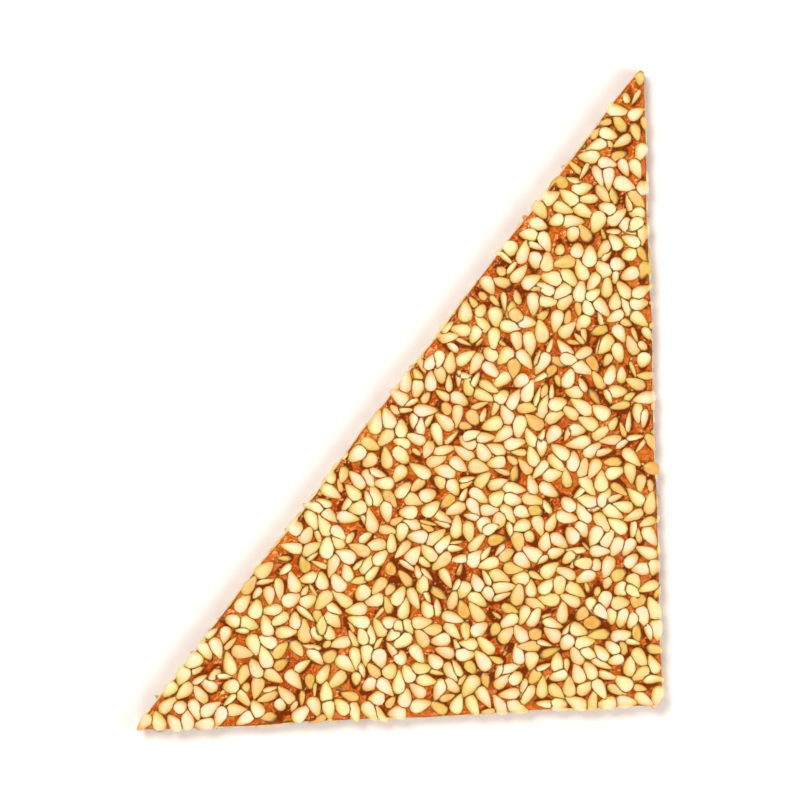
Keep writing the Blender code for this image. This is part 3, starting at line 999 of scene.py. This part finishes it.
def toasted_sesame():
    """Hulled sesame, lightly toasted: cream to golden, satin, darker at its tip, and with stain
    and painted shade at its foot.
    """
    material, tree, shader = new_material("hulled_sesame_toasted")
    place = add(tree, "TexCoord").outputs["Object"]
    tone, along, lift, crowd = (
        add(tree, "Attribute", attribute_name=name).outputs["Fac"]
        for name in ("tone", "along", "lift", "crowd")
    )
    # Each seed has its own tone, and toasting mottles it a little.
    mottle = add(tree, "TexNoise", {"Vector": place, "Scale": 1 / (1.1 * MM), "Detail": 2.0})
    spread = add(tree, "Math", {0: mottle, 1: 0.3, 2: tone}, operation="MULTIPLY_ADD")
    shifted = add(tree, "Math", {0: spread, 1: 0.15}, operation="SUBTRACT")
    ramp = add(tree, "ValToRGB", {"Fac": shifted})
    stops = ramp.color_ramp.elements
    stops[0].color = linear("#f4e4cc")
    stops[1].color = linear("#d49a3a")
    for position, colour in ((0.4, "#f2ddb7"), (0.7, "#eac688")):
        stop = stops.new(position)
        stop.color = linear(colour)
    # The pointed tip is darker than the rest.
    tip_share = add(tree, "MapRange", {"Value": along, "From Min": 0.72, "To Max": 0.6}, **SMOOTH)
    filmed_and_shaded = add(tree, "Mix", {SHARE: tip_share, FROM: ramp, TO: linear("#cc9c40")}, **COLOURS)
    # Low down, and where another seed comes close, the caramel's film turns it golden; this also
    # paints shade on the flanks below the pale crown and beside other seeds. At its foot and where
    # two seeds meet, caramel stains it brown, and this is also painted shade of the crevices
    # there. Each film has its colour, and how far it is full, where it ends and how strong it is,
    # first by lift and then by crowding.
    for film_and_shade, by_lift, by_crowd in (
        ("#e0b15c", (0.11 * MM, 0.43 * MM, 0.9), (0.08 * MM, 0.32 * MM, 0.5)),
        ("#6c4006", (-0.01 * MM, 0.145 * MM, 1.0), (0.01 * MM, 0.17 * MM, 0.95)),
    ):
        low_share, near_share = (
            add(
                tree,
                "MapRange",
                {"Value": far, "From Min": full, "From Max": end, "To Min": most, "To Max": 0.0},
                **SMOOTH,
            )
            for far, (full, end, most) in ((lift, by_lift), (crowd, by_crowd))
        )
        film_and_shade_share = add(tree, "Math", {0: low_share, 1: near_share}, operation="MAXIMUM")
        filmed_and_shaded = add(tree, "Mix", {SHARE: film_and_shade_share, FROM: filmed_and_shaded, TO: linear(film_and_shade)}, **COLOURS)
    # Some lean to pink and some to straw yellow.
    leaning = add(tree, "TexNoise", {"Vector": place, "Scale": 1 / (3.0 * MM), "Detail": 1.0})
    lean_share = add(tree, "MapRange", {"Value": leaning, "From Min": 0.38, "From Max": 0.62})
    pink, straw = linear("#fff6f3"), linear("#f5ffe2")
    lean = add(tree, "Mix", {SHARE: lean_share, FROM: pink, TO: straw}, **COLOURS)
    leant = add(
        tree, "Mix", {SHARE: 1.0, FROM: filmed_and_shaded, TO: lean}, blend_type="MULTIPLY", **COLOURS
    )
    grain = add(tree, "TexNoise", {"Vector": place, "Scale": 1 / (0.22 * MM), "Detail": 2.0})
    bump = add(tree, "Bump", {"Height": grain, "Strength": 0.25, "Distance": 0.05 * MM})
    looks = {
        "Base Color": leant,
        "Normal": bump,
        "Roughness": 0.40,
        "Specular Tint": linear("#ffe6c4"),
        "Coat Weight": 0.12,
        "Coat Roughness": 0.30,
        "IOR": 1.46,
        "Subsurface Weight": 0.15,
        "Subsurface Radius": (0.8, 0.5, 0.2),
        "Subsurface Scale": 0.6 * MM,
    }
    fill(shader, looks)
    return material


# --- The candy ---
def face_seeds(forms, seeds, fillers, draw_number, face, riders):
    """One face's seeds: packed ones, those pressed in between, chips, and those on top."""
    pile = SeedPile(forms)
    draw = np.random.default_rng(draw_number + LYING_DRAW)
    lay_packed(pile, seeds, draw, face)
    lay_fillers(pile, fillers, draw, face)
    lay_chips(pile, np.vstack((seeds, fillers)), draw, face)
    lay_riders(pile, seeds, draw, face, riders)
    return pile


shift = candy_centre()
caramel = boiled_caramel()
sesame = toasted_sesame()
forms = [model_seed(*form) for form in SEED_FORMS]

top = packed_seeds(TOP_DRAW)
underside = packed_seeds(UNDERSIDE_DRAW)
top_fillers = filler_seeds(top, TOP_DRAW)
underside_fillers = filler_seeds(underside, UNDERSIDE_DRAW)
slab = model_caramel(
    np.vstack((top, top_fillers)), np.vstack((underside, underside_fillers)), shift
)
slab.data.materials.append(caramel)

top_pile = face_seeds(forms, top, top_fillers, TOP_DRAW, 0, RIDERS)
top_seeds = top_pile.join("top_seeds", shift)

# Nothing rides on the underside's seeds, which carry the candy.
underside_pile = face_seeds(forms, underside, underside_fillers, UNDERSIDE_DRAW, 1, 0)
underside_seeds = underside_pile.join("underside_seeds", shift)

side_pile = SeedPile(forms)
lay_side_seeds(side_pile)
side_seeds = side_pile.join("cut_side_seeds", shift)

for seeds in (top_seeds, underside_seeds, side_seeds):
    seeds.data.materials.append(sesame)

for piece in (slab, top_seeds, underside_seeds, side_seeds):
    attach(piece, "root")
    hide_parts("sesame_candy")


# --- Floor, light and camera ---
PHOTO_SCALE = 0.30 * MM  # size of one of the photograph's pixels, at the candy
PHOTO_SIDE = 800
CLOSER = 2.0  # how much closer than the photograph the view is
CAMERA_HEIGHT = 0.75
SENSOR = 36.0  # millimetres, as Blender has it
NEAREST_SEEN = 0.01
FLOOR_SIZE = 4
# Each soft box: its name, its place, its width, its power in watts and its colour
SOFT_BOXES = (
    ("key", (-0.24, 0.30, 0.80), 0.32, 5.5, "#fffaf4"),
    ("fill", (0.55, -0.10, 0.55), 0.40, 2.2, "#ffffff"),
    ("low_fill", (-0.10, -0.60, 0.50), 0.40, 1.8, "#ffffff"),
)
WORLD_ROUND = 0.50
WORLD_OVERHEAD = 0.08
DIMMING_STARTS = 0.55  # how high, from 0 at the horizon to 1 overhead


def model_floor():
    """A plain sheet of matt white paper that the candy lies on."""
    deselect()
    bpy.ops.mesh.primitive_plane_add(size=FLOOR_SIZE, location=(0, 0, 0))
    floor = bpy.context.object
    floor.name = "floor"
    material, _, shader = new_material("white_paper")
    fill(shader, {"Base Color": linear("#f4f3f2"), "Roughness": 0.9})
    floor.data.materials.append(material)


def soft_box(name, place, size, power, colour):
    """A square light that faces the candy."""
    light = bpy.data.lights.new(name, "AREA")
    light.shape = "SQUARE"
    light.size = size
    light.energy = power
    light.color = linear(colour)[:3]
    lamp = new_object(name, light)
    lamp.location = place
    lamp.rotation_euler = (-Vector(place)).to_track_quat("-Z", "Y").to_euler()


def set_camera():
    """Looks straight down, as the photograph does, and sees CLOSER times less of the floor."""
    camera = bpy.data.cameras.new("camera")
    camera.sensor_width = SENSOR
    frame_width = PHOTO_SIDE * PHOTO_SCALE / CLOSER
    camera.lens = camera.sensor_width * CAMERA_HEIGHT / frame_width
    camera.clip_start = NEAREST_SEEN
    eye = new_object("camera", camera)
    eye.location = (0, 0, CAMERA_HEIGHT)
    bpy.context.scene.camera = eye


def set_world():
    """A pale studio: bright round the horizon and dimmer overhead, where the camera hangs."""
    world = bpy.data.worlds.new("studio")
    bpy.context.scene.world = world
    world.use_nodes = True
    tree = world.node_tree
    direction = add(tree, "TexCoord").outputs["Generated"]
    height = add(tree, "SeparateXYZ", {"Vector": direction}).outputs["Z"]
    ends = {"From Min": DIMMING_STARTS, "To Min": WORLD_ROUND, "To Max": WORLD_OVERHEAD}
    strength = add(tree, "MapRange", {"Value": height, **ends}, **SMOOTH)
    fill(tree.nodes["Background"], {"Color": linear("#fff8f0"), "Strength": strength})


model_floor()
for box in SOFT_BOXES:
    soft_box(*box)
set_world()
set_camera()
bpy.context.scene.view_settings.view_transform = "Standard"
